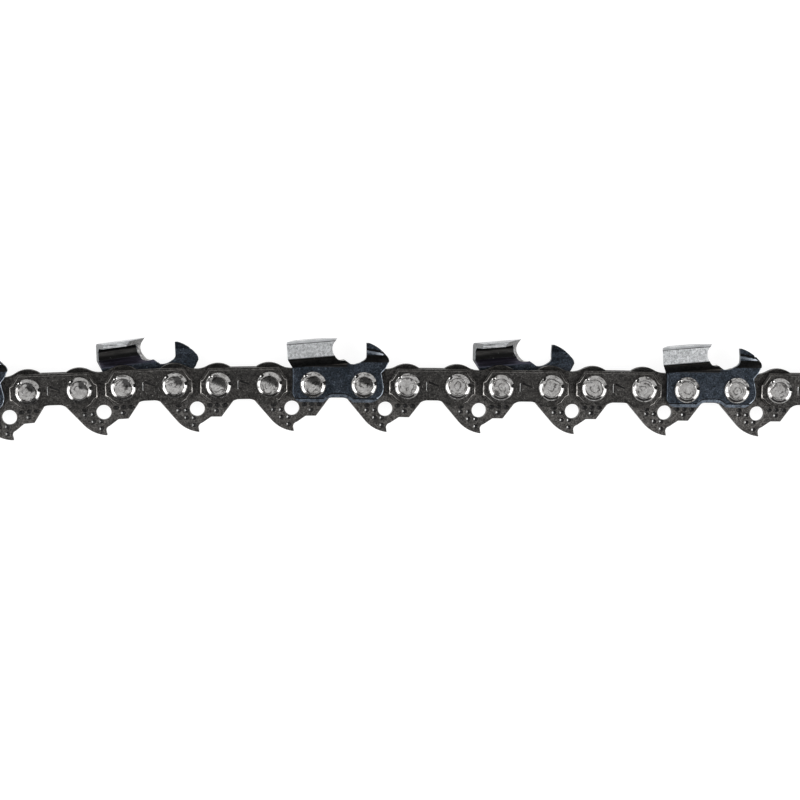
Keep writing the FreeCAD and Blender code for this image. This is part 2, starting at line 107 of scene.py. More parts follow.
class Shade:
    """A node material, with short calls for the nodes that it is made of."""

    def __init__(self, name):
        self.material = bpy.data.materials.new(name)
        self.material.use_nodes = True
        self.tree = self.material.node_tree
        self.tree.nodes.clear()
        self.output = self.tree.nodes.new("ShaderNodeOutputMaterial")
        read = self.node("ShaderNodeTexCoord").outputs
        place, self.facing = read["Object"], read["Normal"]
        self.local = self.vector("SCALE", place, scale=1 / MM)
        own = self.node("ShaderNodeObjectInfo").outputs["Random"]
        shift = self.vector("SCALE", (311.0, 173.0, 97.0), scale=own)
        self.point = self.vector("ADD", self.local, shift)

    def node(self, kind, inputs=(), **settings):
        made = self.tree.nodes.new(kind)
        for name, value in settings.items():
            setattr(made, name, value)
        for name, value in dict(inputs).items():
            self.put(made.inputs[name], value)
        return made

    def put(self, socket, value):
        if isinstance(value, bpy.types.NodeSocket):
            self.tree.links.new(value, socket)
        else:
            socket.default_value = value

    def vector(self, operation, a, b=None, scale=None):
        made = self.node("ShaderNodeVectorMath", operation=operation)
        self.put(made.inputs[0], a)
        if b is not None:
            self.put(made.inputs[1], b)
        if scale is not None:
            self.put(made.inputs["Scale"], scale)
        return made.outputs["Value" if operation in ("LENGTH", "DOT_PRODUCT") else "Vector"]

    def math(self, operation, a, b=0.0):
        made = self.node("ShaderNodeMath", operation=operation)
        self.put(made.inputs[0], a)
        self.put(made.inputs[1], b)
        return made.outputs[0]

    def plus(self, a, b):
        return self.math("ADD", a, b)

    def less(self, a, b):
        return self.math("SUBTRACT", a, b)

    def times(self, a, b):
        return self.math("MULTIPLY", a, b)

    def size(self, a):
        """The value without its sign."""
        return self.math("ABSOLUTE", a)

    def noise(self, scale, detail, rough=0.6, stretch=None):
        where = self.point
        if stretch is not None:
            where = self.vector("MULTIPLY", where, stretch)
        inputs = {"Vector": where, "Scale": scale, "Detail": detail, "Roughness": rough}
        return self.node("ShaderNodeTexNoise", inputs).outputs["Fac"]

    def span(self, value, low, high, to_low=0.0, to_high=1.0):
        """value mapped from low..high to to_low..to_high, held at the ends."""
        spans = {"From Min": low, "From Max": high, "To Min": to_low, "To Max": to_high}
        return self.node("ShaderNodeMapRange", {"Value": value, **spans}).outputs["Result"]

    def around(self, value, full, none):
        """1 where the value is within full of 0, and 0 from none on."""
        return self.span(self.size(value), full, none, 1.0, 0.0)

    def mix(self, share, a, b):
        made = self.node("ShaderNodeMix", data_type="RGBA")
        self.put(made.inputs["Factor"], share)
        self.put(made.inputs["A"], a)
        self.put(made.inputs["B"], b)
        return made.outputs["Result"]

    def scaled(self, colour, by):
        """Colour times a factor."""
        return self.vector("SCALE", colour, scale=by)

    def axis(self, name):
        """Local coordinate in millimetres."""
        return self.node("ShaderNodeSeparateXYZ", {"Vector": self.local}).outputs[name]

    def bump(self, height, depth):
        """Normal from a height of 0 to 1 that stands depth millimetres high."""
        inputs = {"Strength": 1.0, "Distance": depth * MM, "Height": height}
        return self.node("ShaderNodeBump", inputs).outputs["Normal"]

    def finish(self, **inputs):
        """Principled shader with these inputs, underscores for spaces."""
        named = {name.replace("_", " "): value for name, value in inputs.items()}
        shader = self.node("ShaderNodeBsdfPrincipled", named)
        self.tree.links.new(shader.outputs[0], self.output.inputs[0])
        return self.material


def grey(value, warm=0.0):
    """Grey of this linear value, a little warmer or cooler."""
    return (value * (1 + warm), value, value * (1 - warm), 1.0)


def burnt_lean_and_shade(shade):
    """Tone of the outside between plate and chrome: dark brown, with painted shade in black along
    its foot.
    """
    foot = shade.around(shade.less(shade.axis("Y"), 3.78), 0.12, 0.3)
    return shade.mix(foot, grey(0.045, 0.10), grey(0.004))


def burnt_and_shaded_foot(shade, tone):
    """Burns the outside of a cutter's plate where its tooth begins to lean out: the lean's dark
    brown, with its black foot as painted shade.
    """
    outside = shade.span(shade.size(shade.axis("Z")), 1.9, 2.0)
    lean = shade.times(outside, shade.span(shade.axis("X"), 6.5, 7.3, 1.0, 0.0))
    lean = shade.times(lean, shade.span(shade.axis("Y"), 3.45, 3.6))
    return shade.mix(lean, tone, burnt_lean_and_shade(shade))


def gauge_brow_painted_light(shade, tone, mottle):
    """A painted highlight along the depth gauge's brow, brightest at its nose, and a painted black
    shade line over it.
    """
    curve = shade.times(shade.math("MAXIMUM", shade.less(shade.axis("X"), 13.6), 0.0), 0.5)
    curve = shade.plus(curve, shade.times(shade.less(shade.axis("X"), 10.7), 0.2))
    over = shade.less(shade.plus(shade.axis("Y"), curve), 6.68)
    over = shade.plus(over, shade.times(shade.less(mottle, 0.5), 0.5))
    gauge = shade.span(shade.size(shade.axis("Z")), 2.4, 2.6)
    # pale: the painted highlight; black: the painted shade line over it
    pale = shade.times(gauge, shade.around(over, 0.16, 0.30))
    black = shade.times(gauge, shade.around(shade.less(over, 0.50), 0.19, 0.27))
    towards_nose = shade.span(shade.axis("X"), 12.2, 13.4)
    highlight_tone = shade.mix(towards_nose, (0.15, 0.17, 0.20, 1.0), (0.50, 0.54, 0.60, 1.0))
    tone = shade.mix(pale, tone, highlight_tone)
    return shade.mix(black, tone, grey(0.002))


def blackened(name, dark, light, rough, speck, rare, above=None, cutter=False):
    """Heat-blackened steel: cloudy, mottled and grainy, with light specks and dark pits.

    When a height is given, the tone falls towards the top and further above that height: painted
    shade between the side plates, with some oxide too. A cutter also has its brown foot where the
    tooth leans, partly painted shade, and its brow's painted highlight and painted shade.
    """
    shade = Shade(name)
    clouds = shade.span(shade.noise(0.35, 3.0), 0.35, 0.65)
    mottle = shade.noise(1.5, 4.0, 0.7)
    specks = shade.span(shade.noise(2.3, 3.0, 0.6), rare, rare + 0.09)
    pits = shade.span(shade.noise(2.9, 3.0, 0.6), 0.58, 0.68)
    tone = shade.mix(clouds, dark, light)
    tone = shade.scaled(tone, shade.span(mottle, 0.32, 0.68, 0.45, 1.6))
    tone = shade.mix(shade.times(pits, 0.75), tone, grey(0.006))
    tone = shade.mix(shade.times(specks, 0.8), tone, speck)
    tone = shade.scaled(tone, shade.span(shade.noise(3.6, 2.0), 0.35, 0.65, 0.45, 1.55))
    # a cutter's foot: brown tone and painted shade; its brow: painted highlight and painted shade
    if cutter:
        tone = gauge_brow_painted_light(shade, burnt_and_shaded_foot(shade, tone), mottle)
    # painted shade: darker towards the top, between the side plates, and darker still above the
    # height given, where some of it is oxide
    if above is not None:
        tone = shade.scaled(tone, shade.span(shade.axis("Y"), -3.5, 1.0, 1.0, 0.6))
        tone = shade.scaled(tone, shade.span(shade.axis("Y"), above - 0.3, above + 0.3, 1.0, 0.4))
    height = shade.less(shade.plus(mottle, shade.times(specks, 0.4)), pits)
    gloss = shade.span(mottle, 0.3, 0.7, rough + 0.08, rough - 0.06)
    normal = shade.bump(height, 0.045)
    return shade.finish(Base_Color=tone, Metallic=0.85, Roughness=gloss, Normal=normal)


def edge_steel(name, colour, rough, ends=1.0, metallic=0.9):
    """Steel of the colour given, rubbed along its edges, for worn edges and for painted highlights
    and painted shade; ends times as bright where it faces along the link, as a painted highlight.
    """
    shade = Shade(name)
    worn = shade.span(shade.noise(1.4, 4.0, 0.7), 0.35, 0.65)
    tone = shade.scaled(colour[:3], shade.span(worn, 0.0, 1.0, 0.3, 1.7))
    ahead = shade.node("ShaderNodeSeparateXYZ", {"Vector": shade.facing}).outputs["X"]
    # painted highlight: brighter where the face looks along the link, towards the side lamps
    tone = shade.scaled(tone, shade.span(shade.size(ahead), 0.12, 0.3, 1.0, ends))
    gloss = shade.span(worn, 0.0, 1.0, rough + 0.08, rough - 0.06)
    normal = shade.bump(shade.noise(6.0, 3.0), 0.015)
    return shade.finish(Base_Color=tone, Metallic=metallic, Roughness=gloss, Normal=normal)


def punched(name, tone):
    """Inside of a dent or groove, painted: dark as painted shade, or light as a painted highlight,
    by the tone given.
    """
    shade = Shade(name)
    tone = shade.scaled(grey(tone)[:3], shade.span(shade.noise(1.1, 3.0), 0.35, 0.65, 0.5, 1.4))
    gloss = shade.span(shade.noise(3.0, 2.0), 0.3, 0.7, 0.25, 0.38)
    return shade.finish(Base_Color=tone, Metallic=0.5, Roughness=gloss)


def burnt_and_shaded():
    """Steel under the chrome: bluish inside, brown outside, in bands that climb with the top; the
    black and dark grey bands, the black outside above the lean and the near black on the gauge are
    painted shade.
    """
    shade = Shade("burnt_steel")
    height = shade.less(shade.axis("Y"), shade.times(shade.axis("X"), CLIMB))
    wave = shade.times(shade.less(shade.noise(0.5, 3.0, 0.6, stretch=(0.25, 1, 1)), 0.5), 0.8)
    height = shade.plus(height, wave)
    low, high = (0.042, 0.048, 0.068, 1.0), (0.070, 0.064, 0.092, 1.0)
    tone = shade.mix(shade.span(height, 3.7, 4.7), low, high)
    # painted shade: black and dark grey bands of the inner facets, black under the top plate
    tone = shade.mix(shade.span(height, 5.0, 5.6), tone, grey(0.003))
    tone = shade.mix(shade.span(height, 6.15, 6.65), tone, grey(0.034, 0.03))
    tone = shade.mix(shade.span(height, 7.15, 7.4), tone, grey(0.003))
    streaks = shade.noise(1.2, 4.0, 0.7, stretch=(0.3, 2.0, 2.0))
    side = shade.size(shade.axis("Z"))
    outside = shade.less(side, shade.times(shade.less(height, 3.5), 0.8))
    # painted shade outside: black above the lean, near black on the gauge
    lean = shade.mix(shade.span(height, 4.9, 5.2), burnt_lean_and_shade(shade), grey(0.005))
    lean = shade.mix(shade.span(shade.axis("X"), 7.0, 8.0), lean, grey(0.013, -0.05))
    tone = shade.mix(shade.span(outside, 1.5, 1.7), tone, lean)
    tone = shade.scaled(tone, shade.span(streaks, 0.35, 0.65, 0.5, 1.6))
    specks = shade.span(shade.noise(2.2, 2.0), 0.66, 0.72)
    tone = shade.mix(shade.times(specks, 0.6), tone, grey(0.12))
    gloss = shade.span(streaks, 0.3, 0.7, 0.48, 0.34)
    normal = shade.bump(streaks, 0.02)
    return shade.finish(Base_Color=tone, Metallic=0.8, Roughness=gloss, Normal=normal)


def chrome(name, dark, light, shine, grained):
    """Hard chrome skin of the tooth: grained on its wall, streaked along its top and edges."""
    shade = Shade(name)
    grain = shade.noise(2.5, 4.0, 0.8)
    clouds = shade.noise(0.5, 3.0)
    if not grained:
        grain = shade.noise(1.5, 5.0, 0.8, stretch=(0.22, 2.4, 2.4))
    tone = shade.mix(shade.span(grain, 0.38, 0.62), grey(dark, -0.025), grey(light, -0.02))
    middle = grey((dark + light) / 2.2, -0.03)
    tone = shade.mix(shade.span(clouds, 0.45, 0.7, 0.0, 0.35), tone, middle)
    pits = shade.span(shade.noise(1.9, 3.0, 0.7), 0.63, 0.70, 0.0, 0.6)
    tone = shade.mix(pits, tone, grey(0.10, -0.03))
    gloss = shade.span(grain, 0.3, 0.7, 0.46, 0.32)
    normal = shade.bump(grain, 0.02)
    return shade.finish(Base_Color=tone, Metallic=shine, Roughness=gloss, Normal=normal)


def ground_steel():
    """Bare steel where the round file cut: light grey, coarse grain, marks along the cut."""
    shade = Shade("ground_steel")
    marks = shade.noise(1.0, 5.0, 0.8, stretch=(5.0, 5.0, 0.8))
    grain = shade.noise(2.0, 3.0, 0.7)
    tone = shade.mix(shade.span(marks, 0.35, 0.65), grey(0.24, 0.02), grey(0.46, 0.01))
    tone = shade.scaled(tone, shade.span(grain, 0.40, 0.60, 0.4, 1.4))
    tone = shade.scaled(tone, shade.span(shade.axis("Y"), 7.3, 8.2, 1.0, 0.45))
    normal = shade.bump(grain, 0.03)
    return shade.finish(Base_Color=tone, Metallic=0.9, Roughness=0.42, Normal=normal)


def spun_rivet(name, dark_wedge):
    """Spun rivet head: bright, with curling scratches, pits and dull clouds, some with a dark wedge
    over the dish, a painted dark reflection.
    """
    shade = Shade(name)
    clouds = shade.noise(0.9, 4.0, 0.7)
    pits = shade.span(shade.noise(1.7, 4.0, 0.7), 0.60, 0.68)
    ahead = shade.times(shade.span(shade.axis("X"), 5.0, 5.1), SIDE_PITCH)
    ahead = shade.less(shade.axis("X"), ahead)
    place = shade.node("ShaderNodeCombineXYZ", {"X": ahead, "Y": shade.axis("Y")}).outputs[0]
    turns = shade.times(shade.vector("LENGTH", place), 1.1)
    turns = shade.plus(turns, shade.times(shade.noise(0.55, 3.0, 0.6), 3.5))
    scratch = shade.around(shade.less(shade.math("FRACT", turns), 0.5), 0.08, 0.24)
    scratch = shade.times(scratch, shade.span(shade.noise(0.7, 3.0), 0.42, 0.54))
    grain = shade.noise(3.0, 3.0, 0.7)
    tone = shade.mix(shade.span(clouds, 0.35, 0.7), grey(0.64, 0.012), grey(0.34, 0.03))
    tone = shade.scaled(tone, shade.span(grain, 0.35, 0.65, 0.82, 1.08))
    tone = shade.mix(shade.times(pits, 0.7), tone, grey(0.08, 0.05))
    tone = shade.mix(shade.times(scratch, 0.85), tone, grey(0.05, 0.05))
    # painted dark reflection: a wedge over the dish
    if dark_wedge:
        across = shade.vector("DOT_PRODUCT", place, (-0.77, 0.64, 0.0))
        along = shade.vector("DOT_PRODUCT", place, (0.64, 0.77, 0.0))
        streaks = shade.times(shade.less(shade.noise(1.4, 4.0, 0.7), 0.5), 2.2)
        wedge = shade.less(shade.times(along, 1.3), shade.size(across))
        wedge = shade.span(shade.plus(wedge, streaks), -0.1, 0.45)
        wedge = shade.times(wedge, shade.span(shade.vector("LENGTH", place), 1.6, 1.75, 1.0, 0.0))
        tone = shade.scaled(tone, shade.span(wedge, 0.0, 1.0, 1.0, 0.16))
    gloss = shade.span(clouds, 0.3, 0.7, 0.11, 0.18)
    normal = shade.bump(grain, 0.006)
    return shade.finish(Base_Color=tone, Metallic=1.0, Roughness=gloss, Normal=normal)


STRAP = blackened(
    "strap_steel", grey(0.031, 0.04), grey(0.046, 0.05), 0.42, grey(0.17, 0.03), 0.62,
)
# strap edges: rubbed, and painted lighter than the strap as a highlight, three times as bright
# where they face along the link
STRAP_EDGE_HIGHLIGHT = edge_steel("strap_edge", grey(0.17, 0.04), 0.32, ends=3.0)
# drive links: painted shade towards the top and above 3.3 mm, between the side plates, partly oxide
DRIVE = blackened(
    "drive_link_steel", grey(0.054, 0.04), grey(0.082, 0.05), 0.44, grey(0.15, 0.04), 0.62,
    above=3.3,
)
DRIVE_EDGE = edge_steel("drive_link_edge", grey(0.085, 0.06), 0.36)
# insides of dents and grooves: painted shade, and a painted highlight on the walls that face the
# side lamps
DENT_SHADE = punched("dent_dark", 0.006)
DENT_HIGHLIGHT = punched("dent_rubbed", 0.42)
# cutter plates: their foot partly painted shade, their brow with a painted highlight and painted
# shade
BLUED = blackened(
    "blued_steel", (0.017, 0.023, 0.031, 1.0), (0.034, 0.042, 0.055, 1.0), 0.36,
    (0.08, 0.10, 0.12, 1.0), 0.60, cutter=True,
)
# lighter blued steel: the coined rim and rubbed edges, with a painted highlight along the edges and
# the brow's bend
BLUED_EDGE_AND_HIGHLIGHT = edge_steel("blued_edge", (0.125, 0.147, 0.18, 1.0), 0.30)
# painted highlight along the front end of a cutter's plate and the nose of its gauge
PLATE_END_HIGHLIGHT = edge_steel("plate_end", (0.46, 0.52, 0.60, 1.0), 0.30, metallic=0.4)
# near black: painted shade in the rivet notches, on the step over the coined edge and on the
# gauge's brow
PAINTED_SHADE_STEEL = edge_steel("rivet_notch", grey(0.012), 0.45)
CHROME = chrome("hard_chrome", 0.28, 0.76, 0.9, True)
CHROME_TOP = chrome("hard_chrome_top", 0.05, 0.95, 0.9, False)
# painted highlight: lighter and less metallic than the other chrome, so that the slope looks lit
CHROME_SLOPE_HIGHLIGHT = chrome("hard_chrome_slope", 0.45, 0.80, 0.35, False)
CHROME_TAIL = chrome("hard_chrome_tail", 0.10, 0.26, 0.9, True)
# dark chrome along the crease from wall to slope: painted shade
CHROME_CREASE_SHADE = chrome("hard_chrome_crease", 0.06, 0.16, 0.9, False)
GROUND = ground_steel()
# steel under the chrome: brown and bluish tint, with painted shade in black bands
BURNT_AND_SHADED = burnt_and_shaded()
RIVET = spun_rivet("spun_rivet", False)
# rivets with the painted dark reflection in their dish
DARK_WEDGE_RIVET = spun_rivet("stained_rivet", True)


# forms

RIVET_SEAT = 2.7  # radius round each rivet of a side link that stays flat
LAP = 0.02  # how far a cutting tool stands out of the face that it cuts


def node_form(link, node):
    """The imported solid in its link's own axes, with its flat faces joined up."""
    form = bmesh.new()
    form.from_mesh(frame["nodes"][node].data)
    form.transform(PLACES[link].inverted())
    bmesh.ops.remove_doubles(form, verts=form.verts, dist=0.0005 * MM)
    bmesh.ops.dissolve_limit(
        form, angle_limit=math.radians(0.6), verts=form.verts, edges=form.edges,
    )
    return form


def at_rivet(vert):
    """True on the seat of either rivet of a side link."""
    centre = 0.0 if vert.co.x < SIDE_PITCH * MM / 2 else SIDE_PITCH
    return math.hypot(vert.co.x / MM - centre, vert.co.y / MM) < RIVET_SEAT


def crease_edges(form, least=30):
    """Edges where two faces meet at more than this angle."""
    between = [e for e in form.edges if len(e.link_faces) == 2]
    return [e for e in between if e.calc_face_angle(0) > math.radians(least)]


def rounded(form, edges, width, slot=-1, segments=2):
    """Rounds these edges and gives the new faces a material slot."""
    return bmesh.ops.bevel(
        form, geom=edges, offset=width * MM, offset_type="OFFSET", segments=segments,
        profile=0.5, affect="EDGES", clamp_overlap=True, material=slot,
    )


def welded(form, dist):
    """Joins vertices that lie this close, so that no tiny edge holds a bevel back."""
    bmesh.ops.remove_doubles(form, verts=form.verts, dist=dist * MM)
    bmesh.ops.dissolve_degenerate(form, dist=dist * MM, edges=form.edges)
    form.normal_update()


def chains(edges):
    """These edges in groups that hang together, in the same order each time."""
    left, groups = list(edges), []
    while left:
        group = [left.pop(0)]
        for edge in group:
            near = [e for e in left if set(e.verts) & set(edge.verts)]
            left = [e for e in left if e not in near]
            group += near
        groups.append(group)
    return groups


def bordered(form, edges, level, outward, width, drop):
    """Cuts a border of this width along edges of an outer face, sunk by drop(vert) at its rim."""
    made = rounded(form, edges, width, segments=1)
    for vert in {v for f in made["faces"] for v in f.verts}:
        if abs(outward * vert.co.z / MM - (level - width)) < 1e-3:
            vert.co.z = outward * (level - drop(vert)) * MM
    return made["faces"]


def form_mesh(name, form, materials, sharp=38):
    """Finished mesh of a form, smooth where its faces meet at less than this angle."""
    for face in form.faces:
        face.smooth = True
    mesh = bpy.data.meshes.new(name)
    form.to_mesh(mesh)
    form.free()
    for material in materials:
        mesh.materials.append(material)
    mesh.set_sharp_from_angle(angle=math.radians(sharp))
    return mesh


def dent(form, x, y, level, stretch, slot, lit_slot):
    """Adds the tool of one punched dent: a blunt cone, whose rear wall takes the second slot."""
    foot, rim, depth, rear = 0.16, 0.47, 0.18, 0.24
    centre = Vector((x, y, level - (depth - LAP) / 2)) * MM
    turn = Matrix.Translation(centre) @ Matrix.Diagonal((stretch, 1, 1, 1))
    made = bmesh.ops.create_cone(
        form, cap_ends=True, segments=20, radius1=foot * MM, radius2=rim * MM,
        depth=(depth + LAP) * MM, matrix=turn,
    )
    for face in {f for v in made["verts"] for f in v.link_faces}:
        behind = face.calc_center_median().x < centre.x - rear * stretch * MM
        face.material_index = lit_slot if behind else slot


def inset_corners(corners, by):
    """Corners of the outline that lies this far inside a convex outline."""
    count = len(corners)
    centre = Vector((sum(x for x, y in corners), sum(y for x, y in corners))) / count
    lines = []
    for k in range(count):
        a, b = Vector(corners[k]), Vector(corners[(k + 1) % count])
        normal = Vector((a.y - b.y, b.x - a.x)).normalized()
        if normal.dot(centre - a) < 0:
            normal = -normal
        lines.append((a + normal * by, (b - a).normalized()))
    inner = []
    for (p, d), (q, e) in zip([lines[-1]] + lines[:-1], lines):
        share = (q - p).cross(e) / d.cross(e)
        inner.append(p + d * share)
    return inner


def groove(form, corners, depth, inset, level, outward, foot_slot, wall_slots):
    """Adds the tool that sinks a recess of this outline; its slanted walls take a slot each."""

    def outline(inset, height):
        flat = inset_corners(corners, inset)
        return [form.verts.new(Vector((x, y, outward * height)) * MM) for x, y in flat]

    foot = outline(inset, level - depth)
    top = outline(-inset * LAP / depth, level + LAP)
    form.faces.new(top)
    form.faces.new(foot).material_index = foot_slot
    for k, slot in enumerate(wall_slots):
        after = (k + 1) % len(corners)
        form.faces.new((foot[k], foot[after], top[after], top[k])).material_index = slot


def stamped(mesh, tools):
    """The mesh with the tools' solids cut out of it."""
    bmesh.ops.recalc_face_normals(tools, faces=tools.faces)
    for face in tools.faces:
        face.smooth = True
    tool_mesh = bpy.data.meshes.new(f"{mesh.name}_stamps")
    tools.to_mesh(tool_mesh)
    tools.free()
    for material in mesh.materials:
        tool_mesh.materials.append(material)
    holders = [bpy.data.objects.new(m.name, m) for m in (mesh, tool_mesh)]
    for holder in holders:
        bpy.context.scene.collection.objects.link(holder)
    cut = holders[0].modifiers.new("stamps", "BOOLEAN")
    cut.operation, cut.solver, cut.object = "DIFFERENCE", "EXACT", holders[1]
    bpy.context.view_layer.update()
    seen = holders[0].evaluated_get(bpy.context.evaluated_depsgraph_get())
    made = bpy.data.meshes.new_from_object(seen)
    for holder in holders:
        bpy.data.objects.remove(holder)
    made.name = f"{mesh.name}_stamped"
    made.set_sharp_from_angle(angle=math.radians(20))
    return made


def add_piece(name, mesh, link, nodes):
    """One piece on its link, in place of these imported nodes."""
    piece = bpy.data.objects.new(name, mesh)
    bpy.context.scene.collection.objects.link(piece)
    piece.matrix_world = PLACES[link]
    weighted = piece.modifiers.new("weighted", "WEIGHTED_NORMAL")
    weighted.keep_sharp = True
    weighted.weight = 80
    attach(piece, link)
    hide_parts(*nodes)


# drive links

DRIVE_DENTS = [  # centre, and stretch along the link
    (0.85, -5.05, 1.0), (2.38, -5.05, 1.0), (2.42, -6.5, 1.0), (3.87, -6.5, 1.0),
    (3.88, -7.97, 1.0), (0.85, -4.1, 1.3), (6.95, -4.0, 1.3), (8.43, -3.97, 1.1),
    (9.91, -4.0, 1.3), (8.3, -5.1, 1.1),
]
LIT_DENTS = -4.5  # the dents below this height have a painted highlight on their rear wall


def drive_link_mesh():
    """Drive link with fine round edges and the punched dents of its near face."""
    finishes = [DRIVE, DRIVE_EDGE, DENT_SHADE, DENT_HIGHLIGHT]
    # dark: painted shade inside the dents; lit: painted highlight on a rear wall
    edge, dark, lit = 1, 2, 3
    form = node_form("drive_link_02", "drive_link_02")
    level = max(v.co.z for v in form.verts) / MM
    rounded(form, crease_edges(form), 0.09, edge)
    plain = form_mesh("drive_link", form, finishes)
    tools = bmesh.new()
    for x, y, stretch in DRIVE_DENTS:
        dent(tools, x, y, level, stretch, dark, lit if y < LIT_DENTS else dark)
    return stamped(plain, tools)


# tie straps

BAR = [(3.80, 0.90), (3.80, -0.82), (4.10, -0.82), (4.10, 0.90)]
STROKE = [(4.2, 1.12), (4.2, 0.50), (6.25, -0.20), (6.25, 0.20)]
END_LAND, END_SHIFT = 3.0, 0.26  # the land's ends, from the rivets on, move out by the shift


def strap_mesh(side):
    """Strap with a pressed border that is deepest at its ends, rubbed edges with a painted
    highlight, a bar and a stroke with painted shade and highlight in them.
    """
    finishes = [STRAP, STRAP_EDGE_HIGHLIGHT, DRIVE_EDGE, DENT_SHADE, DENT_HIGHLIGHT]
    plain, edge, dull, dark, lit = range(len(finishes))
    border, ridge, reach_in = 0.40, 0.06, 2.2
    outward = 1 if side == "near" else -1
    form = node_form("side_link_02", f"side_link_02_{side}_strap")
    level = max(outward * v.co.z for v in form.verts) / MM

    def share(vert):
        """0 between the rivets, 1 at the ends."""
        reach = max(-vert.co.x, vert.co.x - SIDE_PITCH * MM) / MM
        return min(max((reach + reach_in) / 2.0, 0.0), 1.0)

    def on_top(vert):
        return abs(outward * vert.co.z / MM - level) < 1e-3

    def rim():
        """Outline of the outer face as it is now, without the rivet holes."""
        return [e for e in form.edges if all(on_top(v) and not at_rivet(v) for v in e.verts)]

    bordered(form, rim(), level, outward, border, lambda vert: 0.05 + 0.11 * share(vert))
    for vert in form.verts:
        if on_top(vert) and vert.co.x < -END_LAND * MM:
            vert.co.x -= END_SHIFT * MM
        elif on_top(vert) and vert.co.x > (SIDE_PITCH + END_LAND) * MM:
            vert.co.x += END_SHIFT * MM
    old = set(form.verts)
    made = rounded(form, rim(), ridge, segments=1)
    for vert in form.verts:
        if vert not in old and not on_top(vert) and outward * vert.co.z / MM > level - 0.05:
            vert.co.z = outward * (level - 0.02 - 0.08 * share(vert)) * MM
    # the ridge near the ends takes the light edge steel: rubbed, with a painted highlight
    for face in made["faces"]:
        face.material_index = edge if min(share(v) for v in face.verts) > 0.3 else plain
    form.normal_update()
    corners = [e for e in crease_edges(form, 45) if not all(at_rivet(v) for v in e.verts)]
    rounded(form, corners, 0.06, dull)
    mesh = form_mesh(f"strap_{side}", form, finishes)
    tools = bmesh.new()
    # in the grooves: painted shade on the feet and dark walls, a painted highlight on the bar's
    # left wall
    groove(tools, BAR, 0.10, 0.13, level, outward, dark, [lit, edge, dark, edge])
    groove(tools, STROKE, 0.12, 0.09, level, outward, dark, [dull, dull, dark, dark])
    return stamped(mesh, tools)


# cutters

FILE_CENTRE = Vector((6.42, 7.28, 3.8))
FILE_RADIUS = 2.4
FILE_AXIS = Vector((math.sin(math.radians(30)), 0.0, math.cos(math.radians(30))))
PLATE_LEVEL = 2.05  # outer face of the plate
COIN_LEVEL = 1.9  # the coined edge lies below this
TOOTH_FRONT = 7.2  # the tooth ends here, and the throat begins
WALL_FOOT = 3.3  # heights over the climbing base line, where finishes change
SKIN_FOOT, SKIN_LEAST = 5.42, 5.4
TOP_LEAST, INNER_TOP_LEAST = 7.9, 7.5
STEP_FOOT, STEP_LIFT, STEP_END = -1.88, 0.25, 12.85  # dark step above the coined edge
# materials of a cutter by slot: the blued edge, chrome slope and plate end carry painted
# highlights; the notch steel, chrome crease and steel under the chrome carry painted shade
CUTTER_FINISHES = [
    BLUED, CHROME, BLUED_EDGE_AND_HIGHLIGHT, GROUND, BURNT_AND_SHADED, PAINTED_SHADE_STEEL, CHROME_CREASE_SHADE, CHROME_TOP, CHROME_SLOPE_HIGHLIGHT,
    CHROME_TAIL, PLATE_END_HIGHLIGHT,
]
ON_PLATE, SKIN, RUBBED_AND_HIGHLIGHT, FILED, BENT, PAINTED_SHADE, CREASE_SHADE, TOP, SLOPE, TAIL, END_HIGHLIGHT = range(11)


def cutter_finish(face, outward):
    """Material slot of a cutter's face, from its place and the way it faces."""
    x, y, z = face.calc_center_median() / MM
    z *= outward
    normal = Vector((face.normal.x, face.normal.y, outward * face.normal.z))
    height = y - CLIMB * x
    away = Vector((x, y, z)) - FILE_CENTRE
    away -= FILE_AXIS * away.dot(FILE_AXIS)
    if abs(away.length - FILE_RADIUS) < 0.08 and normal.dot(away.normalized()) < -0.9:
        return FILED
    if normal.z > 0.9 and z < COIN_LEVEL:
        return RUBBED_AND_HIGHLIGHT
    # faces of the gauge that look down take the steel under the chrome, which is painted near black
    # there as shade
    if x > TOOTH_FRONT and normal.y < -0.4 and z > PLATE_LEVEL:
        return BENT
    if x > TOOTH_FRONT or height < WALL_FOOT:
        return ON_PLATE
    if height > SKIN_LEAST and normal.x < -0.9:
        return TAIL
    if height > SKIN_LEAST and normal.z > 0.9:
        return SKIN
    if height > SKIN_LEAST and normal.z > 0.6:
        return SLOPE
    if height > TOP_LEAST and normal.y > 0.6 or height > INNER_TOP_LEAST and z < -0.9:
        return TOP
    if abs(normal.z) > 0.99 and z < 2.2:
        return ON_PLATE
    return BENT


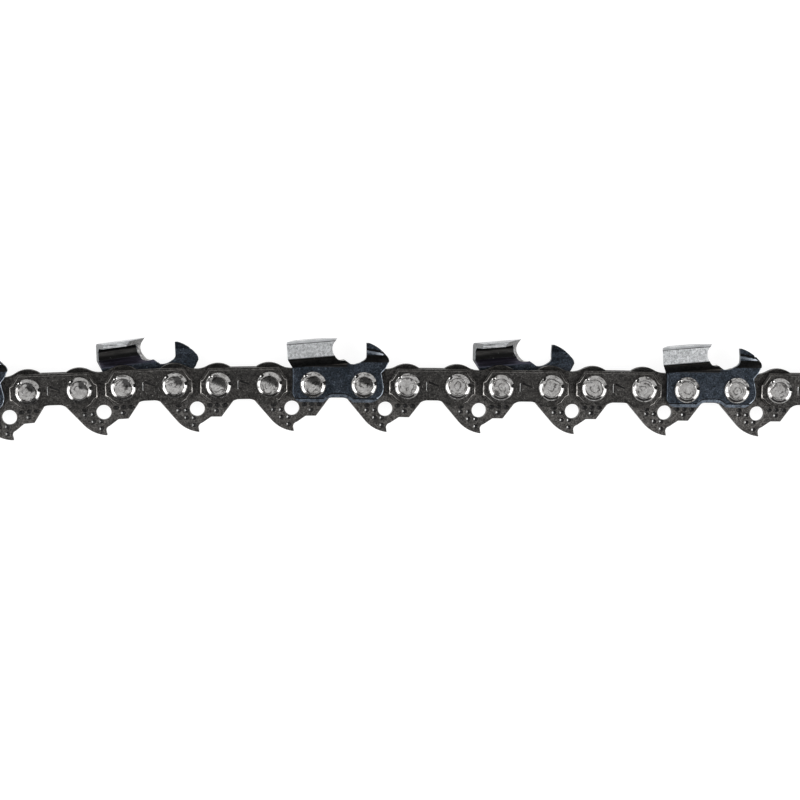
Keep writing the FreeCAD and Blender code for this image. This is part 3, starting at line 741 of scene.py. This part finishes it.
def cutter_mesh(side):
    """Cutter with its chrome skin, rounded bends, pressed border and rubbed edges, with painted
    highlights and painted shade on some faces.
    """
    outward = 1 if side == "near" else -1
    link = "side_link_05" if side == "near" else "side_link_03"
    form = node_form(link, f"{link}_{side}_cutter")
    bmesh.ops.bisect_plane(
        form, geom=form.verts[:] + form.edges[:] + form.faces[:], dist=1e-7,
        plane_co=Vector((0, SKIN_FOOT, 0)) * MM, plane_no=Vector((-CLIMB, 1, 0)).normalized(),
    )
    welded(form, 0.04)
    for face in form.faces:
        face.material_index = cutter_finish(face, outward)

    def bend(edge):
        """True where the sheet is bent and not cut."""
        if min(v.co.y for v in edge.verts) < 3 * MM:
            return False
        sides = [outward * f.normal.z for f in edge.link_faces]
        slots = {f.material_index for f in edge.link_faces}
        same_side = min(sides) * max(sides) > 0 and min(abs(n) for n in sides) > 0.5
        return same_side and not slots & {SKIN, RUBBED_AND_HIGHLIGHT, TOP, SLOPE, TAIL, END_HIGHLIGHT}

    def on_plate(vert):
        """True on the outline of the plate's outer face, not on its rivet holes."""
        return abs(outward * vert.co.z / MM - PLATE_LEVEL) < 0.01 and not at_rivet(vert)

    def end_edge(edge):
        """True along the two ends of the plate's outer face."""
        beyond = all(v.co.x > 12.8 * MM or v.co.x < -3.4 * MM for v in edge.verts)
        return beyond and all(on_plate(v) and v.co.y < 4.6 * MM for v in edge.verts)

    def outside(edge, x, y, z):
        """True where the edge lies further ahead, higher and further out than this."""
        return all(
            v.co.x > x * MM and outward * v.co.z > z * MM and v.co.y > y * MM for v in edge.verts
        )

    def brow(edge):
        """True along the crease across the outside of the depth gauge."""
        return outside(edge, 10, 6.7, 2.9)

    def nose(edge):
        """True along the outer edge of the depth gauge's rounded nose."""
        return outside(edge, 12.6, 4.6, 2.0)

    def skin_crease(edge):
        """True where the chrome turns from its wall to its slope."""
        return {f.material_index for f in edge.link_faces} == {SKIN, SLOPE}

    # the tail of a near cutter slants back
    for vert in form.verts:
        if vert.co.z > 3 * MM and vert.co.x < 0 and vert.co.y > 5 * MM:
            vert.co.x += 0.08 * MM - 0.12 * (vert.co.y - 5.2 * MM)

    # the step above the coined edge slants, so that it shows, and its leaning faces take painted
    # shade
    for vert in form.verts:
        if on_plate(vert) and vert.co.y / MM < STEP_FOOT:
            middle = 0 < vert.co.x / MM < SIDE_PITCH
            share = 1.0 if middle else min(STEP_FOOT - vert.co.y / MM, 1.0)
            vert.co.y += STEP_LIFT * MM * share
    form.normal_update()
    for face in form.faces:
        touching = [on_plate(v) for v in face.verts]
        leans = any(touching) and not all(touching) and face.normal.y < -0.3
        if leans and face.calc_center_median().x < STEP_END * MM:
            face.material_index = PAINTED_SHADE

    # pressed border along the plate's ends, with a painted highlight along the front one
    ends = [e for e in crease_edges(form) if end_edge(e)]
    for face in bordered(form, ends, PLATE_LEVEL, outward, 0.3, lambda vert: 0.2):
        face.material_index = END_HIGHLIGHT if face.calc_center_median().x > 0 else ON_PLATE

    # the gauge's brow falls towards its nose; its rounded bend is painted lighter as a highlight,
    # and the faces of the bend that look up are painted shade
    brows = [e for e in crease_edges(form, 20) if brow(e) and bend(e)]
    for vert in {v for e in brows for v in e.verts}:
        vert.co.y -= (0.30 + 0.10 * (vert.co.x / MM - 9.9)) * MM
    made = rounded(form, brows, 0.3, RUBBED_AND_HIGHLIGHT, segments=3)
    for face in made["faces"]:
        if face.normal.y > 0.3:
            face.material_index = PAINTED_SHADE

    # bends, chrome crease with painted shade, nose with a painted highlight and all sharp edges,
    # rubbed and painted lighter as a highlight; welds between them keep tiny edges out
    welded(form, 0.04)
    bends = chains([e for e in crease_edges(form, 12) if bend(e) and not brow(e)])
    for group in sorted(bends, key=len):
        rounded(form, [e for e in group if e.is_valid], 0.32, segments=3)
    welded(form, 0.03)
    rounded(form, [e for e in crease_edges(form) if skin_crease(e)], 0.12, CREASE_SHADE)
    rounded(form, [e for e in crease_edges(form, 50) if nose(e)], 0.16, END_HIGHLIGHT)
    welded(form, 0.04)
    rounded(form, crease_edges(form, 35), 0.06, RUBBED_AND_HIGHLIGHT)
    welded(form, 0.001)
    return form_mesh(f"cutter_{side}", form, CUTTER_FINISHES)


# rivets

RIVET_DISC = [(0.0, 0.135), (0.5, 0.122), (1.0, 0.088), (1.4, 0.045), (1.66, 0.0)]  # radius, depth
DISC_LEVEL = 2.765
RIVET_RING = [  # radius, height
    (1.73, 2.70), (1.80, 2.775), (1.9, 2.775), (2.0, 2.73), (2.1, 2.685), (2.2, 2.64),
    (2.31, 2.585), (2.33, 2.572), (2.52, 2.566), (2.545, 2.50), (2.56, 2.40), (2.57, 2.27),
    (2.575, 2.05),
]
RIVET_STEPS = 60
RIVET_NOTCHES = [(129, 2.0, 2.4), (9, 2.05, 2.45)]  # angle, inner and outer radius
NOTCH_DEPTH, NOTCH_REACH = 0.16, 5
LIP_START, LIP_END, LIP_FROM, LIP_WIDTH = 9, 129, 2.35, 0.04
HOLLOW_START, HOLLOW_END = 0.060, 0.097  # metres along the chain
# side links whose rivets have the painted dark wedge
DARK_WEDGE_LINKS = ("side_link_01", "side_link_02", "side_link_03")


def rivet_style(place, chance):
    """Dish and tilt of a head: hollow in a stretch left of the middle, nearly flat elsewhere."""
    if HOLLOW_START < place < HOLLOW_END:
        return chance.uniform(1.0, 1.4), chance.uniform(-0.01, 0.01)
    return chance.uniform(0.1, 0.4), -0.07 + chance.uniform(-0.02, 0.02)


def rivet_ring(form, centre, radius, height, tilt):
    """One ring of a rivet, with its lip and notches, tilted across the link."""
    ring = []
    for step in range(RIVET_STEPS):
        degrees = 360 * step / RIVET_STEPS
        wide = LIP_WIDTH if radius > LIP_FROM and LIP_START < degrees < LIP_END else 0.0
        sunk = 0.0
        for angle, inner, outer in RIVET_NOTCHES:
            if abs(degrees - angle) < NOTCH_REACH and inner < radius < outer:
                sunk = NOTCH_DEPTH
        turn = math.radians(degrees)
        x, y = (radius + wide) * math.cos(turn), (radius + wide) * math.sin(turn)
        z = height - math.copysign(sunk, height) + tilt * y
        ring.append(form.verts.new(Vector((centre + x, y, z)) * MM))
    return ring


def notched(face):
    """True for a face of a rivet that lies in one of its notches."""
    middle = face.calc_center_median() / MM
    from_rivets = [Vector((middle.x - centre, middle.y)) for centre in (0.0, SIDE_PITCH)]
    near = min(from_rivets, key=lambda away: away.length)
    degrees = math.degrees(math.atan2(near.y, near.x))
    return any(
        inner < near.length < outer and abs(degrees - angle) < NOTCH_REACH + 1
        for angle, inner, outer in RIVET_NOTCHES
    )


def rivets_mesh(link, chance):
    """Both rivets of a side link; each head is spun a little differently."""
    form = bmesh.new()
    for centre in (0.0, SIDE_PITCH):
        dish, tilt = rivet_style((PLACES[link] @ Vector((centre * MM, 0, 0))).x, chance)
        head = [(r, DISC_LEVEL - sunk * dish, 1) for r, sunk in RIVET_DISC]
        head += [(r, z, 0) for r, z in RIVET_RING]
        rings = []
        for radius, height, lift in head + [(r, -z, -lift) for r, z, lift in reversed(head)]:
            if radius == 0.0:
                rings.append([form.verts.new((centre * MM, 0, height * MM))])
            else:
                rings.append(rivet_ring(form, centre, radius, height, lift * tilt))
        for above, below in zip(rings, rings[1:]):
            for step in range(RIVET_STEPS):
                after = (step + 1) % RIVET_STEPS
                if len(above) == 1:
                    form.faces.new((above[0], below[step], below[after]))
                elif len(below) == 1:
                    form.faces.new((above[after], above[step], below[0]))
                else:
                    form.faces.new((above[step], below[step], below[after], above[after]))
    bmesh.ops.recalc_face_normals(form, faces=form.faces)
    for face in form.faces:
        # faces in a notch take near black steel: painted shade
        if notched(face):
            face.material_index = 1
    finish = DARK_WEDGE_RIVET if link in DARK_WEDGE_LINKS else RIVET
    return form_mesh(f"{link}_rivets", form, [finish, PAINTED_SHADE_STEEL], 13)


# pieces

drive_mesh = drive_link_mesh()
strap_meshes = {side: strap_mesh(side) for side in ("near", "far")}
cutter_meshes = {side: cutter_mesh(side) for side in ("near", "far")}
chance = random.Random(7)

for link in LINKS:
    if link.startswith("drive"):
        add_piece(f"{link}_dressed", drive_mesh, link, [link])
        continue
    for side in ("near", "far"):
        if CUTTER_SIDE.get(link) == side:
            node = f"{link}_{side}_cutter"
            add_piece(f"{node}_dressed", cutter_meshes[side], link, [node])
        else:
            node = f"{link}_{side}_strap"
            add_piece(f"{node}_dressed", strap_meshes[side], link, [node])
    node = f"{link}_rivets"
    add_piece(f"{node}_dressed", rivets_mesh(link, chance), link, [node])


# floor, light and camera

MIDDLE = Vector((0.1, 0.0, 0.0))


def floor_material():
    """Pale floor that keeps a soft shadow, white where the camera or a mirror sees it."""
    shade = Shade("floor")
    matt = shade.node("ShaderNodeBsdfDiffuse", {"Color": grey(0.8)}).outputs[0]
    pale = shade.node("ShaderNodeBsdfDiffuse", {"Color": grey(0.22)}).outputs[0]
    glow = shade.node("ShaderNodeEmission", {"Color": grey(1.0), "Strength": 0.9}).outputs[0]
    seen = shade.tree.nodes.new("ShaderNodeAddShader")
    shade.tree.links.new(pale, seen.inputs[0])
    shade.tree.links.new(glow, seen.inputs[1])
    path = shade.node("ShaderNodeLightPath").outputs
    direct = shade.math("MAXIMUM", path["Is Camera Ray"], path["Is Glossy Ray"])
    direct = shade.math("MAXIMUM", direct, path["Is Transmission Ray"])
    choice = shade.tree.nodes.new("ShaderNodeMixShader")
    shade.tree.links.new(direct, choice.inputs[0])
    shade.tree.links.new(matt, choice.inputs[1])
    shade.tree.links.new(seen.outputs[0], choice.inputs[2])
    shade.tree.links.new(choice.outputs[0], shade.output.inputs[0])
    return shade.material


def make_floor():
    """Square of six metres just under the chain."""
    form = bmesh.new()
    centre = MIDDLE + Vector((0.0, 0.0, cad_box[0].z - 0.02 * MM))
    for x, y in ((-3, -3), (3, -3), (3, 3), (-3, 3)):
        form.verts.new(centre + Vector((x, y, 0)))
    form.faces.new(form.verts)
    mesh = bpy.data.meshes.new("floor")
    form.to_mesh(mesh)
    form.free()
    mesh.materials.append(floor_material())
    floor = bpy.data.objects.new("floor", mesh)
    bpy.context.scene.collection.objects.link(floor)


def make_world():
    """White where the camera sees it, and a dim studio for everything else."""
    world = bpy.data.worlds.new("studio")
    bpy.context.scene.world = world
    world.use_nodes = True
    tree = world.node_tree
    back = tree.nodes["Background"]
    back.inputs["Color"].default_value = (1, 1, 1, 1)
    path = tree.nodes.new("ShaderNodeLightPath")
    strength = tree.nodes.new("ShaderNodeMapRange")
    tree.links.new(path.outputs["Is Camera Ray"], strength.inputs["Value"])
    strength.inputs["To Min"].default_value = 0.05
    strength.inputs["To Max"].default_value = 1.0
    tree.links.new(strength.outputs["Result"], back.inputs["Strength"])


def make_light(name, azimuth, polar, distance, width, height, power):
    """Soft box towards the chain's middle: azimuth from +X in the chain's plane, polar from +Z."""
    turn, tip = math.radians(azimuth), math.radians(polar)
    away = Vector((math.sin(tip) * math.cos(turn), math.sin(tip) * math.sin(turn), math.cos(tip)))
    data = bpy.data.lights.new(name, "AREA")
    data.shape = "RECTANGLE"
    data.size, data.size_y = width, height
    data.energy = power
    lamp = bpy.data.objects.new(name, data)
    lamp.location = MIDDLE + away * distance
    lamp.rotation_euler = away.to_track_quat("Z", "Y").to_euler()
    bpy.context.scene.collection.objects.link(lamp)


def make_camera():
    """The photograph's view: from the teeth's side, a little from the left."""
    target = Vector((100.437 * MM, -0.662 * MM, 0.0))
    yaw, lift, roll = math.radians(-4.46), math.radians(5.22), math.radians(-0.085)
    distance = 0.570
    back = Vector((math.sin(yaw) * math.cos(lift), math.sin(lift), math.cos(yaw) * math.cos(lift)))
    right = Vector((0, 1, 0)).cross(back).normalized()
    up = back.cross(right)
    turn = Matrix((right, up, back)).transposed().to_4x4() @ Matrix.Rotation(roll, 4, "Z")
    data = bpy.data.cameras.new("camera")
    data.lens = 129.239
    data.sensor_width = 36.0
    data.clip_start = 0.01
    camera = bpy.data.objects.new("camera", data)
    camera.matrix_world = Matrix.Translation(target + back * distance) @ turn
    bpy.context.scene.collection.objects.link(camera)
    bpy.context.scene.camera = camera


make_floor()
make_world()
make_light("front_panel", 68, 29, 1.0, 2.2, 1.4, 6.8)
make_light("left_box", 198, 58, 0.9, 0.84, 1.04, 9.7)
make_light("right_box", 338, 58, 0.9, 0.56, 1.04, 6.5)
make_camera()
bpy.context.scene.view_settings.view_transform = "Standard"
